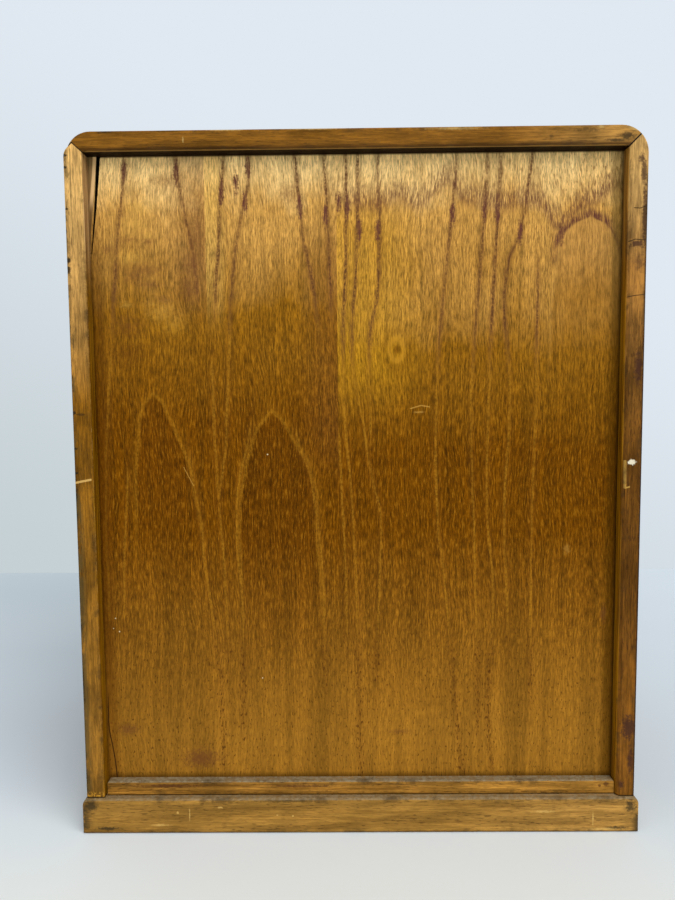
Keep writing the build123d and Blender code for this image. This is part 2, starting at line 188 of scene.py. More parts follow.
wall_pale = tone(224, 232, 241)
wall_dim = tone(197, 208, 212)
daylight = (0.94, 0.97, 1, 1)
daylight_share = 0.42

world = bpy.data.worlds.new("pale_room")
world.use_nodes = True
room = world.node_tree
rays = add_node(room, "LightPath").outputs
seen = most(*[Wire(room, rays[f"Is {kind} Ray"]) for kind in ("Camera", "Glossy", "Transmission")])
towards = add_node(room, "TexCoord").outputs["Generated"]
towards_x, _, towards_z = parts(Wire(room, towards))
wall_height = towards_z + towards_x * -0.45
wall_colour = mix(ease(wall_height, -0.45, 0.35), wall_dim, wall_pale)
around = room.nodes["Background"]
feed(around.inputs["Color"], mix(seen, daylight, wall_colour))
feed(around.inputs["Strength"], seen * (1 - daylight_share) + daylight_share)
bpy.context.scene.world = world

lamps = {
    "window_light": {"strength": 2.05, "angle": 50, "climb": 46, "round": -38, "colour": (1, 0.985, 0.96)},
    "room_light": {"strength": 0.75, "angle": 90, "climb": 30, "round": 25, "colour": (0.97, 0.985, 1)},
}
for name, lamp in lamps.items():
    data = bpy.data.lights.new(name, "SUN")
    data.energy = lamp["strength"]
    data.angle = math.radians(lamp["angle"])
    data.color = lamp["colour"]
    made = bpy.data.objects.new(name, data)
    bpy.context.scene.collection.objects.link(made)
    climb, turn = math.radians(lamp["climb"]), math.radians(lamp["round"])
    source = Vector((math.sin(turn) * math.cos(climb), math.cos(turn) * math.cos(climb), math.sin(climb)))
    made.rotation_euler = source.to_track_quat("Z", "Y").to_euler()

table_side, far_edge, near_edge = 4, -0.468, 4
corners = [(-table_side, far_edge, 0), (table_side, far_edge, 0), (table_side, near_edge, 0),
           (-table_side, near_edge, 0)]
table_mesh = bpy.data.meshes.new("table_top")
table_mesh.from_pydata(corners, [], [(0, 1, 2, 3)])
table_top = bpy.data.objects.new("table_top", table_mesh)
bpy.context.scene.collection.objects.link(table_top)

matt_white, shader, place = new_material("matt_white_table")
fine_specks = ease(noise(place, 0.9, 2), 0.70, 0.76)
clouds = noise(place, 0.004, 2)
along, from_back, _ = parts(place)
table_colour = mix(ease(from_back, 40, 190), (215, 226, 235), (232, 237, 235))
# The far left of the table top is darker and bluer, a painted shadow.
far_corner_shadow = ease(from_back, -60, -400) * ease(along, 60, 240)
table_colour = mix(far_corner_shadow * 0.7, table_colour, (184, 197, 204))
table_colour = mix(ease(clouds, 0.3, 0.7, 0, 0.06), table_colour, (180, 186, 190))
table_colour = mix(fine_specks * 0.12, table_colour, (150, 150, 150))
feed_all(shader, {"Base Color": table_colour, "Roughness": 0.85, "Specular IOR Level": 0.1})
table_mesh.materials.append(matt_white)

camera_data = bpy.data.cameras.new("camera")
camera_data.lens = 27.04
camera_data.sensor_width = 36
camera = bpy.data.objects.new("camera", camera_data)
bpy.context.scene.collection.objects.link(camera)
level_view_of_back = Matrix(((-1, 0, 0), (0, 0, 1), (0, 1, 0)))
tilt_degrees = {"Y": 0.53, "X": -4.15, "Z": -0.52}
turned = level_view_of_back
for axis, degrees in tilt_degrees.items():
    turned = turned @ Matrix.Rotation(math.radians(degrees), 3, axis)
camera_place = (0.0070, 0.4582, 0.2360)
camera.matrix_world = Matrix.Translation(camera_place) @ turned.to_4x4()
bpy.context.scene.camera = camera
bpy.context.scene.view_settings.view_transform = "Standard"

# Case boards
# Top, two sides and bottom of solid honey-brown hardwood, ten millimetres thick, glued and mitred at the
# rounded upper corners. Worn varnish: pale where hands rubbed the arrises, black with grime at the mitre
# seams.
# Painted shade darkens the top board's underside and lower edge and the faces inside the recess, and a
# painted shadow line runs along the foot.


def new_group(name, given, made):
    """An empty node group, what it is given and where its results go, all values unless a kind is named."""
    tree = bpy.data.node_groups.new(name, "ShaderNodeTree")
    kinds = {"": "NodeSocketFloat", "vector": "NodeSocketVector", "colour": "NodeSocketColor"}
    for way, labels in (("INPUT", given), ("OUTPUT", made)):
        for text in labels:
            label, _, kind = text.partition(":")
            tree.interface.new_socket(label, in_out=way, socket_type=kinds[kind])
    start = {socket.name: Wire(tree, socket) for socket in tree.nodes.new("NodeGroupInput").outputs}
    return tree, start, tree.nodes.new("NodeGroupOutput").inputs


# Solid timber: growth rings round a pith outside the board, long fibres, open pores and slow cloudiness.
# Its place is in millimetres, first along the grain, then the two ways across it.
timber, given, made = new_group(
    "solid_timber",
    ("Grain Place:vector", "Ring Width"),
    ("Rings", "Fibre", "Pores", "Clouds", "Height"),
)
along, across, through = parts(given["Grain Place"])
sway = (noise(given["Grain Place"] * (0.006, 0.03, 0.03), 1, 2) - 0.5) * 14
pith_across, pith_through = -38, -61
radius = length(0, across - pith_across, through - pith_through) + sway
growth = noise_along(radius / given["Ring Width"], 3, 0.6)
rings = ease(growth, 0.42, 0.62)
fibre = noise(given["Grain Place"] * (0.07, 1.1, 1.1), 1, 4, 0.7)
fibre = ease(fibre, 0.34, 0.66)
pores = noise(given["Grain Place"] * (0.25, 1.6, 1.6), 1, 1)
pores = ease(pores, 0.58, 0.68) * (rings * 0.5 + 0.5)
clouds = noise(given["Grain Place"] * (0.03, 0.09, 0.09), 1, 5, 0.6)
height = fibre * 0.4 + pores * -0.9
feed_all(made, {"Rings": rings, "Fibre": fibre, "Pores": pores, "Clouds": clouds, "Height": height})

# Edge wear: of the three distances to a board's nearest faces, the second smallest is that to an arris.
arris_wear, given, made = new_group(
    "arris_wear",
    ("Distances:vector", "Place:vector", "Width"),
    ("Worn", "Grime"),
)
first, second, third = parts(given["Distances"])
lesser = least(first, second)
greater = most(first, second)
to_arris = most(lesser, least(greater, third))
rag = noise(given["Place"], 0.22, 5, 0.7) - 0.56
reach = rag * given["Width"] * 9 + given["Width"]
worn = 1 - ease(to_arris, 0, most(reach, 0.05))
smear = noise(given["Place"], 0.075, 6, 0.7)
grime = ease(smear, 0.5, 0.64) * ease(to_arris, 4.4, 0.3)
feed_all(made, {"Worn": worn, "Grime": grime})

# One mark on a face: an oval with a ragged, soft outline, by its middle and half sizes in millimetres.
mark, given, made = new_group(
    "mark",
    ("Across", "Along", "Middle Across", "Middle Along", "Half Across", "Half Along", "Softness"),
    ("Mask",),
)
off_across = (given["Across"] - given["Middle Across"]) / given["Half Across"]
off_along = (given["Along"] - given["Middle Along"]) / given["Half Along"]
off = length(off_across, off_along)
flecks = noise(joined(given["Across"], given["Along"], 0), 0.55, 4, 0.75)
off = (flecks - 0.5) * 2.2 + off
inner = 1 - given["Softness"]
feed(made["Mask"], 1 - ease(off, inner, 1))

# A seam, crack or scratch: how far a place on a face is from the straight line between two points.
seam, given, made = new_group(
    "seam",
    ("Across", "Along", "Start Across", "Start Along", "Run Across", "Run Along"),
    ("Distance",),
)
off_across = given["Across"] - given["Start Across"]
off_along = given["Along"] - given["Start Along"]
covered = off_across * given["Run Across"] + off_along * given["Run Along"]
run_squared = given["Run Across"] * given["Run Across"] + given["Run Along"] * given["Run Along"]
share = least(most(covered / run_squared, 0), 1)
off_across = off_across - share * given["Run Across"]
off_along = off_along - share * given["Run Along"]
off = length(off_across, off_along)
feed(made["Distance"], off)


def marks(across, along, *rows):
    """The strongest of several marks, each by its middle, half sizes, softness and, if faint, strength."""
    masks = []
    labels = ("Middle Across", "Middle Along", "Half Across", "Half Along", "Softness")
    for *shape, strength in [row if len(row) > len(labels) else (*row, 1) for row in rows]:
        sockets = {"Across": across, "Along": along, **dict(zip(labels, shape))}
        mask = grouped(mark, sockets)["Mask"]
        masks.append(mask * strength)
    return most(*masks)


def off_line(across, along, points):
    """The distance in millimetres to the line through a few (across, along) points."""
    distances = []
    for start, end in zip(points, points[1:]):
        sockets = {"Across": across, "Along": along, "Start Across": start[0], "Start Along": start[1],
                   "Run Across": end[0] - start[0], "Run Along": end[1] - start[1]}
        distances.append(grouped(seam, sockets)["Distance"])
    return least(*distances)


def lined(across, along, points, width, softness=0.7):
    """A thin line through a few (across, along) points, by its half width in millimetres."""
    return ease(off_line(across, along, points), width, width * (1 - softness))


def by_height(along, tones, tallest=400):
    """The colour at a height: tones has (height in millimetres, colour on a screen) from the foot up."""
    ramp = add_node(along.tree, "ValToRGB", {"Fac": along / tallest})
    stops = ramp.color_ramp.elements
    for height, colour in sorted(tones):
        stops.new(height / tallest).color = tone(*colour)
    stops.remove(stops[len(stops) - 1])
    stops.remove(stops[0])
    return Wire(along.tree, ramp.outputs[0])


def faces_by_box(place, node):
    """The distances in millimetres to the nearest faces of a board's box, one for each axis."""
    low, high = (corner * 1000 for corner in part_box(node))
    return vector("MINIMUM", vector("SUBTRACT", place, tuple(low)), vector("SUBTRACT", tuple(high), place))


case_low, case_high = (corner * 1000 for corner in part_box("left_side_board"))
case_half_width = -case_low.x
case_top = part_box("top_board")[1].z * 1000
board_thickness = 10
corner_radius = 13.3
far_below = 400


def faces_by_case(place, node):
    """The distances to the case's rounded outline, to its inside, and to its back or front face."""
    x, y, z = parts(place)
    away = abs(x)
    outline_half = (case_top + far_below) / 2 - corner_radius
    over_side = away - (case_half_width - corner_radius)
    over_top = abs(z - (case_top - corner_radius - outline_half)) - outline_half
    beyond = length(most(over_side, 0), most(over_top, 0))
    beyond = beyond + least(most(over_side, over_top), 0)
    outer = corner_radius - beyond
    inner = board_thickness - outer
    face = least(case_high.y - y, y - case_low.y)
    return joined(outer, inner, face)


grain_orders = {"x": (0, 1, 2), "y": (1, 0, 2), "z": (2, 0, 1)}


def figured(place, grain, shift, ring_width):
    """Solid timber at this place, with the grain along one of the three axes."""
    axes = parts(place)
    order = [axes[index] for index in grain_orders[grain]]
    moved = vector("ADD", joined(*order), shift)
    return grouped(timber, {"Grain Place": moved, "Ring Width": ring_width})


def varnish(node, grain, shift, colour_of, faces=faces_by_box, wear_width=0.6, ring_width=3.4, extra=None,
            rubbed_tone=(190, 146, 78), rubbed_amount=0.55, grime_amount=0.6, figure_amount=1):
    """Makes a node solid varnished hardwood, rubbed to bare wood at its arrises and grimy near them."""
    made, shader, place = new_material(node + "_hardwood")
    wood = figured(place, grain, shift, ring_width)
    colour = colour_of(place)
    figure = ease(wood["Rings"], 0, 1, 1.16, 0.82) * ease(wood["Fibre"], 0, 1, 1.26, 0.72)
    figure = figure * ease(wood["Clouds"], 0.34, 0.66, 0.68, 1.3)
    strong = ease(parts(place)[1], case_high.y - 24, case_high.y - 4, 0.5, figure_amount)
    colour = mix(strong, colour, mix(1, colour, figure, "MULTIPLY"))
    colour = mix(wood["Pores"] * 0.55, colour, (58, 32, 8))
    if extra:
        colour = extra(place, colour)
    edge = grouped(arris_wear, {"Distances": faces(place, node), "Place": place, "Width": wear_width})
    colour = mix(edge["Grime"] * grime_amount, colour, (60, 44, 22))
    colour = mix(edge["Worn"] * rubbed_amount, colour, rubbed_tone)
    coat = (1 - edge["Worn"]) * ease(wood["Clouds"], 0.34, 0.66, 0.02, 0.08)
    rough = edge["Worn"] * 0.25 + (wood["Fibre"] * 0.14 + 0.44)
    feed_all(shader, {"Base Color": colour, "Roughness": rough, "Coat Weight": coat, "Coat Roughness": 0.34,
                      "Specular IOR Level": 0.04})
    height = wood["Height"] + noise(place, 0.12, 3) * 2.5
    roughen(shader, edge["Worn"] * -0.8 + height, 0.6, 0.0002)
    dress(node, made)


# The side boards are paler high up, a painted sheen of light from above, and darkest at two thirds of their
# height.
paler_foot_brown = (128, 88, 28)
olive_brown = (122, 79, 10)
red_brown = (109, 68, 16)
tan = (141, 97, 42)
sheen_pale_brown = (198, 155, 90)
right_board_tones = ((60, paler_foot_brown), (235, olive_brown), (345, sheen_pale_brown))
left_board_tones = ((60, red_brown), (210, red_brown), (305, tan), (350, sheen_pale_brown))
inner_corner = (140, 364.5)
mitre_tip = (145.4, 369.5)
joint_notch = (147.8, 367.3)
right_joint = (inner_corner, mitre_tip, joint_notch)
left_joint = ((-140, 364.5), (-146, 370.5))
joint_black = (18, 11, 5)
# Near black for the painted shadow line along the foot of the boards.
foot_shadow_black = (20, 12, 6)
back_end = case_high.y


def right_board_colour(place):
    return by_height(parts(place)[2], right_board_tones)


def left_board_colour(place):
    return by_height(parts(place)[2], left_board_tones)


def top_board_colour(place):
    x, _, z = parts(place)
    paler_end = ease(x, -70, -140)
    colour = mix(paler_end, (120, 78, 18), (156, 113, 52))
    # Darker towards the lower edge of the face, painted shade on the rounded lower arris.
    return mix(ease(z, 367.6, 365.6, 0, 0.9), colour, (66, 40, 4))


def facing_up(place):
    """One where a face looks straight up, minus one where it looks down."""
    return parts(Wire(place.tree, add_node(place.tree, "NewGeometry").outputs["Normal"]))[2]


def near_back(place):
    """One on the back ends of the boards, fading out a finger's width from them."""
    return ease(parts(place)[1], back_end - 12, back_end - 3)


def inside_shade(place, colour, weathered):
    """The faces inside the recess: dry and grey high up on one side, elsewhere dark brown, painted shade."""
    x, y, z = parts(place)
    facing_in = ease(abs(x), 140.6, 140.15) * ease(y, back_end - 12, back_end - 10)
    streaks = noise(joined(0, y * 0.9, z * 0.02), 1, 3)
    lit_more = ease(x, 10, -10)
    paler = ease(z, 215, 120)
    amber = mix(lit_more, (142, 98, 8), (158, 108, 12))
    brown_above = mix(lit_more, (84, 48, 0), (94, 55, 2))
    brown_below = mix(lit_more, (108, 66, 4), (116, 74, 14))
    # The dark brown is painted shade, a little lighter on the side that the light reaches.
    dark = mix(ease(streaks, 0.4, 0.6), amber, mix(paler, brown_above, brown_below))
    dry = mix(ease(streaks, 0.4, 0.6), (190, 152, 102), (120, 86, 48))
    shade = mix(ease(z, 290, 330) * weathered, dark, dry)
    return mix(facing_in * 0.92, colour, shade)


def top_board_marks(place, colour):
    x, y, z = parts(place)
    behind = near_back(place)
    ends = marks(x, z, (-139, 369.5, 5, 2.6, 0.7), (-133, 367.2, 7, 1.2, 0.8),
                 (-119, 372.6, 9, 1.6, 0.9, 0.7), (128, 374.2, 6, 0.9, 0.8), (96, 374.4, 14, 0.6, 0.9, 0.8),
                 (-100, 369.5, 1.6, 1.8, 0.9, 0.7))
    colour = mix(ends * behind * 0.8, colour, (46, 36, 18))
    # Pale marks: rubbed wear at the ends, and along the upper rim partly rubbed wear, partly a painted
    # highlight on the rounded edge.
    rubbed = marks(x, z, (-144.5, 373.2, 6.5, 1.9, 0.6), (-125.5, 374, 2.2, 0.9, 0.5),
                   (66, 374.6, 12, 0.8, 0.8), (20, 374.7, 22, 0.7, 0.8), (-52, 374, 20, 1, 0.8),
                   (88, 370, 0.5, 2.6, 0.8), (146, 371, 1.5, 2, 0.7))
    colour = mix(rubbed * behind * 0.6, colour, (196, 162, 96))
    # The top board's underside is near black, painted shade.
    underside_shade = ease(facing_up(place), -0.6, -0.9) * ease(y, 91, 92)
    colour = mix(underside_shade * 0.96, colour, (22, 9, 2))
    seams = most(lined(x, z, right_joint, 0.35), lined(x, z, left_joint, 0.55))
    return mix(seams, colour, joint_black)


def right_side_marks(place, colour):
    """On the photograph's left: pale high up, with black specks and grey-green stains at its outer arris."""
    x, _, z = parts(place)
    behind = near_back(place)
    outward = ease(x, 144.6, 149.4)
    blotches = noise(place * (0.20, 0.20, 0.06), 1, 6, 0.7)
    low_down = ease(z, 220, 150, 0, 0.1)
    stain = ease(blotches + low_down, 0.5, 0.62) * outward * behind
    colour = mix(stain * 0.8, colour, (82, 68, 36))
    specks = noise(place * (0.5, 0.3, 0.16), 1, 5, 0.75)
    specks = ease(specks, 0.53, 0.6) * ease(x, 148.3, 149.5)
    colour = mix(specks * behind * 0.9, colour, (30, 25, 14))
    nick_spots = ((231, 1.2), (212, 0.8), (199, 0.8), (363, 1), (357, 0.8), (336, 0.7), (310, 2), (305, 2.4))
    nicks = marks(x, z, *[(149.2, height, 1.7, half, 0.6) for height, half in nick_spots])
    colour = mix(nicks * behind * 0.9, colour, (32, 26, 16))
    grain_line = lined(x, z, ((146.2, 366), (146.6, 340), (146, 318)), 0.45, 0.9)
    colour = mix(grain_line * behind * 0.6, colour, (120, 98, 56))
    chip = lined(x, z, ((149.8, 193.8), (146, 194.6), (141.6, 195.4)), 0.7, 0.4)
    colour = mix(chip * behind * 0.85, colour, (212, 170, 96))
    dented = marks(x, z, (145.5, 230, 3.2, 0.8, 0.6))
    colour = mix(dented * behind * 0.7, colour, (60, 40, 14))
    crumbs = ease(noise(place, 0.9, 3, 0.7), 0.50, 0.56)
    foot = ease(z, 23.4, 21.4) * (crumbs * behind)
    colour = mix(foot * 0.8, colour, (206, 150, 48))
    colour = inside_shade(place, colour, 1)
    colour = mix(lined(x, z, right_joint, 0.4), colour, joint_black)
    # A painted shadow line along the foot, where the board meets the plinth.
    return mix(ease(z, 20.6, 19.8, 0, 0.9), colour, foot_shadow_black)


def left_side_marks(place, colour):
    """On the photograph's right: orange-brown, with purple-black stains, fine cracks, paint and a chip."""
    x, _, z = parts(place)
    behind = near_back(place)
    stains = marks(x, z, (-147.6, 352, 1.9, 9, 0.6), (-146.4, 358, 2.6, 3, 0.7), (-148.4, 330, 1.6, 26, 0.7),
                   (-145, 315.4, 5.5, 2.2, 0.6), (-146, 306, 4.5, 7, 0.9, 0.6), (-146.8, 252, 2.8, 12, 0.8),
                   (-146, 58, 5, 9, 0.6), (-147.5, 40, 2.4, 12, 0.8), (-142.6, 26, 2, 3.2, 0.8))
    colour = mix(stains * behind * 0.82, colour, (62, 36, 28))
    crack_lines = (((-149.8, 334.4), (-146, 333.2), (-143, 333.4)),
                   ((-149.8, 317), (-144, 317.6), (-140.8, 316.6)),
                   ((-149.8, 289.6), (-144, 289), (-140.8, 288.4)))
    cracks = most(*[lined(x, z, points, 0.35) for points in crack_lines])
    colour = mix(cracks * behind * 0.85, colour, (30, 16, 8))
    outward = ease(x, -148.6, -149.5) * ease(z, 352, 330)
    colour = mix(outward * behind * 0.88, colour, (30, 18, 16))
    paint = marks(x, z, (-144.6, 202.4, 2.4, 1.7, 0.3))
    colour = mix(paint * behind, colour, (226, 216, 190))
    chip = most(lined(x, z, ((-141.2, 203), (-141.4, 189)), 0.7, 0.4),
                lined(x, z, ((-141.6, 188.8), (-143.6, 189.4)), 0.5, 0.4))
    colour = mix(chip * behind * 0.8, colour, (190, 148, 70))
    colour = inside_shade(place, colour, 0.15)
    colour = mix(lined(x, z, left_joint, 0.6), colour, joint_black)
    # A painted shadow line along the foot, where the board meets the plinth.
    return mix(ease(z, 20.4, 19.7, 0, 0.9), colour, foot_shadow_black)


def dusted(place, colour, amount=0.8):
    """Grey-beige dust that has settled where a face looks up."""
    clumps = noise(place, 0.5, 5, 0.7)
    share = ease(facing_up(place), 0.3, 0.75) * ease(clumps, 0.3, 0.62, amount * 0.6, amount)
    dust = mix(ease(clumps, 0.35, 0.65), (112, 102, 80), (140, 128, 102))
    return mix(share, colour, dust)


def bottom_board_colour(place):
    streak = noise(place * (0.012, 0.1, 0.5), 1, 4, 0.65)
    paler_end = ease(parts(place)[0], 120, -120, 0.25, 0.75)
    share = paler_end + ease(streak, 0.38, 0.62, -0.35, 0.35)
    return mix(share, (126, 85, 28), (170, 121, 48))


def bottom_board_marks(place, colour):
    x, y, z = parts(place)
    dark_ends = marks(x, z, (-135.4, 25, 2.2, 1.4, 0.5), (-131.8, 24, 1, 1, 0.6), (30, 24.5, 26, 1.2, 0.9),
                      (104, 24.8, 30, 1.4, 0.9))
    colour = mix(dark_ends * 0.7, colour, (78, 42, 22))
    colour = dusted(place, colour, 0.94)
    lint = most(lined(x, y, ((-8, 96), (-7, 97.6), (-5.8, 97)), 0.25),
                lined(x, y, ((-88, 95.4), (-86.6, 96.8), (-85.4, 95.9)), 0.25))
    colour = mix(lint * 0.8, colour, (50, 44, 36))
    # A painted shadow line along the foot, where the board meets the plinth.
    return mix(ease(z, 20.6, 19.8, 0, 0.85), colour, (26, 16, 8))


varnish("top_board", "x", (40, 12, -370), top_board_colour, faces_by_case, 0.28, extra=top_board_marks,
        rubbed_amount=0.2, grime_amount=0.4, figure_amount=0.8)
varnish("right_side_board", "z", (0, -110, 30), right_board_colour, faces_by_case, 0.25,
        extra=right_side_marks)
varnish("left_side_board", "z", (900, 110, -40), left_board_colour, faces_by_case, 0.2, extra=left_side_marks,
        rubbed_tone=(170, 120, 66))
varnish("bottom_board", "x", (300, 0, 20), bottom_board_colour, wear_width=0.25, extra=bottom_board_marks,
        figure_amount=0.8)

# Back panel
# A thin panel of three veneer leaves on plywood, set a finger's width in from the case's back edges and glued
# into a groove. Amber varnish, with a painted sheen of light high up and a painted reflection of the table
# near the foot, and a dry split at its upper left.
seams = (79, 9.8)
# Paler near the foot and high up: a painted reflection of the table below and a painted sheen of light above.
reflection_lit_honey = (148, 101, 30)
dark_amber = (111, 65, 1)
honey = (140, 93, 15)
straw = (202, 151, 74)
sheen_lit_straw = (252, 213, 142)
panel_tones = ((50, reflection_lit_honey), (165, dark_amber), (225, dark_amber), (282, honey), (335, straw),
               (366, sheen_lit_straw))

# An arched growth line: how far a place lies below (negative) or above an arch, with its apex, the half width
# at which its legs turn upright, the drop down to there, and the slope of the legs from there on.
arch, given, made = new_group(
    "arch",
    ("Across", "Along", "Apex Across", "Apex Along", "Half Width", "Drop", "Power", "Slope"),
    ("Above",),
)
away = abs(given["Across"] - given["Apex Across"])
share = least(away, given["Half Width"]) / given["Half Width"]
curved = share ** given["Power"] * given["Drop"]
straight = most(away - given["Half Width"], 0) * given["Slope"]
above = given["Along"] - given["Apex Along"] + (curved + straight)
feed(made["Above"], above)

# A growth line's sideways distance, which grows past the line's two ends, so that the line tapers off.
strand, given, made = new_group(
    "growth_line",
    ("Across", "Along", "Line Across", "Lower End", "Upper End"),
    ("Distance",),
)
past = most(given["Lower End"] - given["Along"], given["Along"] - given["Upper End"])
aside = abs(given["Across"] - given["Line Across"])
feed(made["Distance"], most(past, 0) * 0.12 + aside)


def curved_line(value, points, span=(0, 400), reach=(-160, 160)):
    """A smooth curve through a few (value, result) points in millimetres, all within the two ranges."""
    made = add_node(value.tree, "FloatCurve", {"Value": (value - span[0]) / (span[1] - span[0])})
    knots = made.mapping.curves[0].points
    spots = [((at - span[0]) / (span[1] - span[0]), (result - reach[0]) / (reach[1] - reach[0]))
             for at, result in sorted(points)]
    spots = [(0, spots[0][1])] + spots + [(1, spots[-1][1])]
    knots[0].location, knots[1].location = spots[0], spots[-1]
    for spot in spots[1:-1]:
        knots.new(*spot)
    made.mapping.update()
    return Wire(value.tree, made.outputs[0]) * (reach[1] - reach[0]) + reach[0]


# Growth lines on the leaves, each through a few (height, across) points, and the legs of the three arches.
growth_lines = (
    ((366, 120.4), (345, 122.5), (328, 124.9), (295, 128), (244, 132.5), (196, 136), (120, 136.5)),
    ((366, 93.5), (342, 91), (317, 86.2), (296, 84)),
    ((203, 89.5), (171, 85), (143, 83), (99, 77), (40, 75)),
    ((196, 124), (154, 127), (120, 128)),
    ((254, 77), (185, 75), (143, 72.5), (100, 71.5)),
    ((366, 68.4), (340, 71), (315, 72.6), (290, 74.5)),
    ((366, 55), (352, 55.7), (335, 59.5), (317, 63), (286, 66.3), (264, 67.5), (211, 71), (180, 75)),
    ((221, 57), (195, 63.5), (164, 65.5), (121, 63), (60, 64)),
    ((216, 32), (195, 25), (178, 22.5), (153, 19.5), (90, 18)),
    ((366, 31.3), (339, 29), (322, 27.2), (306, 24.2), (274, 20)),
    ((366, 16), (333, 14.5), (280, 13)),
    ((216, 9.5), (174, 7.5), (110, 6)),
    ((366, 4.5), (311, 5.3), (261, 7), (214, 5.5), (181, 2.5), (90, 0), (28, -1)),
    ((366, -1.5), (310, -0.5), (255, 2), (226, -3.5), (198, -7.5), (175, -12.5), (147, -12.5), (90, -10)),
    ((366, -12), (289, -11), (275, -8), (220, -7.5)),
    ((366, -53.5), (333, -50.5), (276, -45), (231, -42.5), (181, -43), (126, -48.5), (57, -54.5),
     (28, -57.5)),
    ((366, -69.5), (303, -65.5), (239, -61.5), (158, -63.5), (60, -66)),
    ((366, -76), (287, -72.5), (229, -70.5), (169, -70.5), (135, -73.5), (57, -71.5), (31, -74)),
    ((366, -93), (347, -90.5), (325, -87), (308, -80.5), (232, -82), (175, -79.5), (110, -82)),
    ((302, -96), (232, -96), (180, -94.5), (80, -94.5)),
)
arch_legs = (
    (((241, 109), (235, 114.5), (226, 117), (213, 118), (198, 119.5), (140, 120.5)),
     ((241, 109), (235, 103.4), (217, 96.2), (205, 91.1), (177, 86.1), (152, 83.8), (122, 82.7),
      (77, 76))),
    (((231, 45.5), (222, 53.3), (204, 59), (187, 62.8), (164, 63.9), (110, 63)),
     ((231, 45.5), (225, 39.2), (211, 31.9), (203, 25.9), (187, 21.7), (166, 22), (110, 19))),
    (((332, -123.5), (328, -115.3), (320, -108.1), (305, -105.2), (284, -103.4), (240, -102)),
     ((332, -123.5), (327, -131.7), (313, -138.4), (290, -143))),
)

veneer, shader, place = new_material("back_panel_veneer")
x, y, z = parts(place)
wander = noise(joined(x * 0.2, 0, z * 0.04), 1, 3)
wandering = (wander - 0.5) * 2 + x
rag = noise(joined(x * 1.1, 2, z * 0.24), 1, 2)
ragged = (rag - 0.5) * 1.5 + wandering
on_right_leaf = ease(x, seams[1] + 0.3, seams[1] - 0.3)
on_left_leaf = ease(x, seams[0] - 0.3, seams[0] + 0.3)
high_up = ease(on_right_leaf * 20 + z, 262, 300)
low_down = ease(z, 122, 88)
midway = (1 - high_up) * (1 - low_down)

# Fibres and pores run down the leaf, leaning with its slow figure.
figure = noise(joined(x * 0.02, 8, z * 0.012), 1, 2)
lean = (figure - 0.5) * 12 + wandering
fibres = noise(joined(lean * 1.35, 0, z * 0.18), 1, 3, 0.7)
veins = noise(joined(lean * 0.42, 9, z * 0.012), 1, 4, 0.65)
ticks = noise(joined(lean * 1.5, 4, z * 0.26), 1, 1)
pores = noise(joined(lean * 1.3, 5, z * 0.42), 1, 1)
dots = ease(pores, 0.62, 0.70)
mottle = noise(joined(x * 0.045, 3, z * 0.03), 1, 5, 0.6)

golden = on_right_leaf * (ease(z, 160, 225) * ease(z, 322, 278))
shifted = (mottle - 0.5) * 44 + z
shifted = golden * 20 + shifted
colour = by_height(shifted, panel_tones)

# Broad bands beside the leaf seams, the golden strip between them and the darker insides of the arches.
upper_part = ease(z, 268, 312)
dusky = ease(x, 108, 86) * on_left_leaf * upper_part
colour = mix(dusky * 0.36, colour, (136, 90, 50))
straw_strip = ease(x, 67, 73) * (1 - on_left_leaf) * upper_part
colour = mix(straw_strip * 0.4, colour, (228, 182, 92))
brown = ease(x, 36, 14) * (1 - on_right_leaf) * (ease(z, 185, 225) * ease(z, 345, 310))
colour = mix(brown * 0.42, colour, (120, 74, 24))
gold = ease(x, -44, -8) * on_right_leaf * (ease(z, 222, 262) * ease(z, 348, 322))
colour = mix(gold * 0.46, colour, (206, 150, 32))
fading_heights = ((130, 205), (60, 170), (235, 305))
insides, bands, halos = [], [], []
for (one_leg, other_leg), (foot, shoulder) in zip(arch_legs, fading_heights):
    edges = least(curved_line(z, one_leg) - ragged, ragged - curved_line(z, other_leg))
    within = ease(edges, -1, 1.8) * ease(z, one_leg[0][0] + 2.5, one_leg[0][0] - 2)
    outline = [(across, height) for height, across in reversed(one_leg)]
    outline += [(across, height) for height, across in other_leg[1:]]
    off = off_line(ragged, z, outline)
    faded = ease(z, foot, shoulder)
    insides.append(within * faded)
    outside = 1 - within
    bands.append(ease(off, 6, 1) * outside * faded)
    halos.append(ease(off, 1.5, 0.3) * faded)
colour = mix(most(*insides[:2]) * 0.42, colour, (90, 48, 1))
colour = mix(most(*bands[:2]) * 0.2, colour, (150, 98, 18))
colour = mix(insides[2] * 0.5, colour, mix(ease(z, 285, 318), (140, 92, 26), (176, 128, 66)))

# Fibres are dark dashes high up, pale ones in the dark middle, and open pores near the foot.
grain = ease(fibres, 0.3, 0.66, 0.42, 1.3) * ease(veins, 0.34, 0.66, 0.76, 1.2)
calmed = ease(insides[2], 0, 1, 1, 0.72)
grain = (grain - 1) * calmed + 1
grain_strength = ease(z, 50, 150, 0.5, 1) * ease(z, 300, 355, 1, 0.78)
colour = mix(grain_strength, colour, mix(1, colour, grain, "MULTIPLY"))
pale_dash = ease(fibres, 0.52, 0.7) * (1 - high_up)
colour = mix(pale_dash * ease(z, 50, 130, 0.16, 0.36), colour, (182, 128, 32))
dark_dash = ease(ticks, 0.44, 0.35) * ease(z, 285, 335)
dark_dash = dark_dash * ease(insides[2], 0, 1, 1, 0.35)
colour = mix(dark_dash * ease(x, -60, -110, 0.34, 0.6), colour, (112, 70, 28))
colour = mix(dots * ease(z, 170, 70, 0.14, 0.78), colour, (76, 42, 8))
washes = noise(joined(wandering * 0.075, 6, z * 0.006), 1, 3, 0.6)
washes = ease(washes, 0.36, 0.64, 0.84, 1.18)
colour = mix(ease(z, 190, 90, 0.25, 1), colour, mix(1, colour, washes, "MULTIPLY"))

